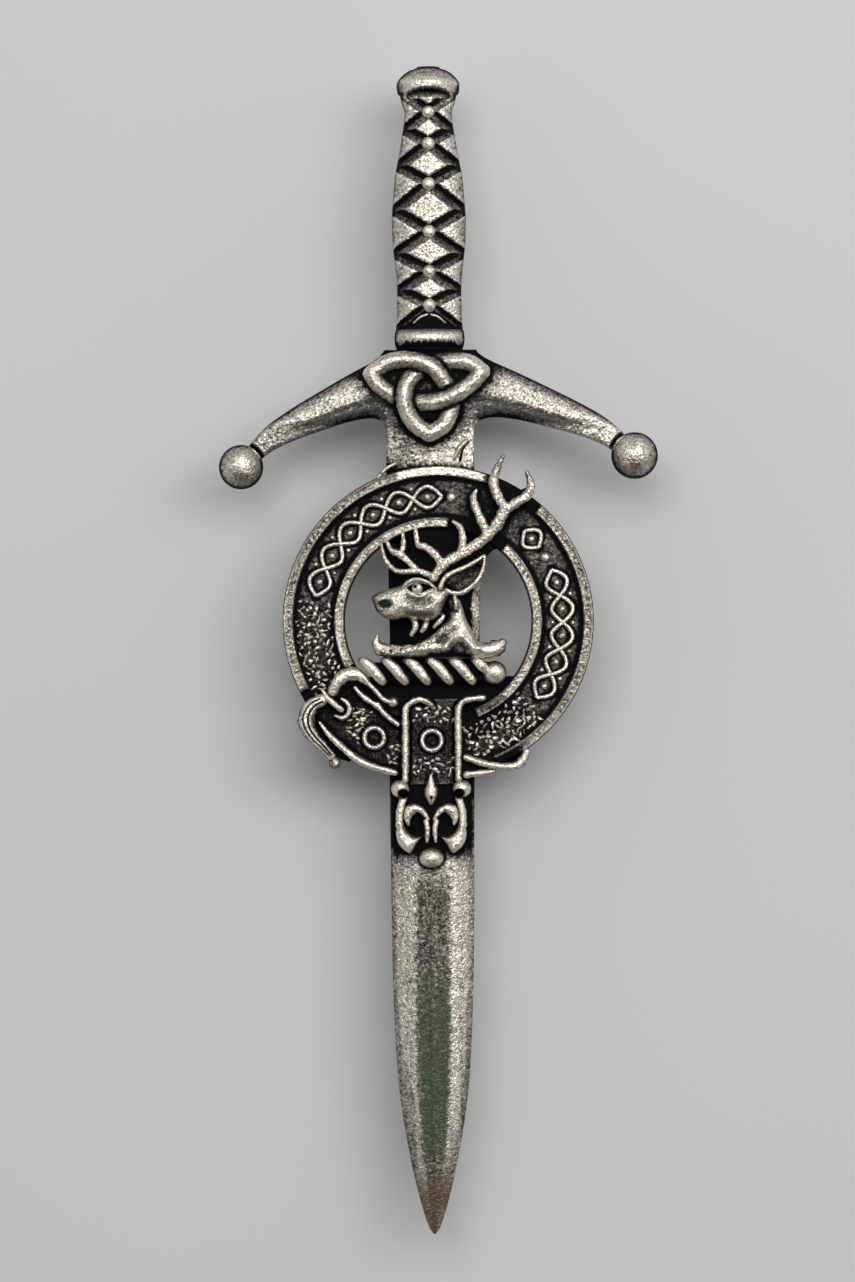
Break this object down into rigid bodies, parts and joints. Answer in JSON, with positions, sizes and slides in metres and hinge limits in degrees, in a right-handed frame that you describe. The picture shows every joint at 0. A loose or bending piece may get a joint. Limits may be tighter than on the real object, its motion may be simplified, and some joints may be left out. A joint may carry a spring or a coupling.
{
  "type": "kilt pin",
  "caption": "Sword-shaped kilt pin with a round strap-and-buckle badge, stag's head crest and interlaced ornament, on a closed brooch fitting.",
  "frame": {"origin": "on the floor under the middle of the pin's outline, lying face up on its brooch fitting", "axes": "+Y along the sword towards the pommel, +X to the wearer's left when the sword points down, +Z out of the face"},
  "size_m": [0.0376, 0.1, 0.0112],
  "materials": {
    "pewter": "cast pewter, blackened in the recesses and rubbed bright on the high spots",
    "steel": "dull nickel-plated steel"
  },
  "bodies": {
    "root": {"front_casting": "pewter", "brooch_pin": "steel"}
  },
  "joints": []
}
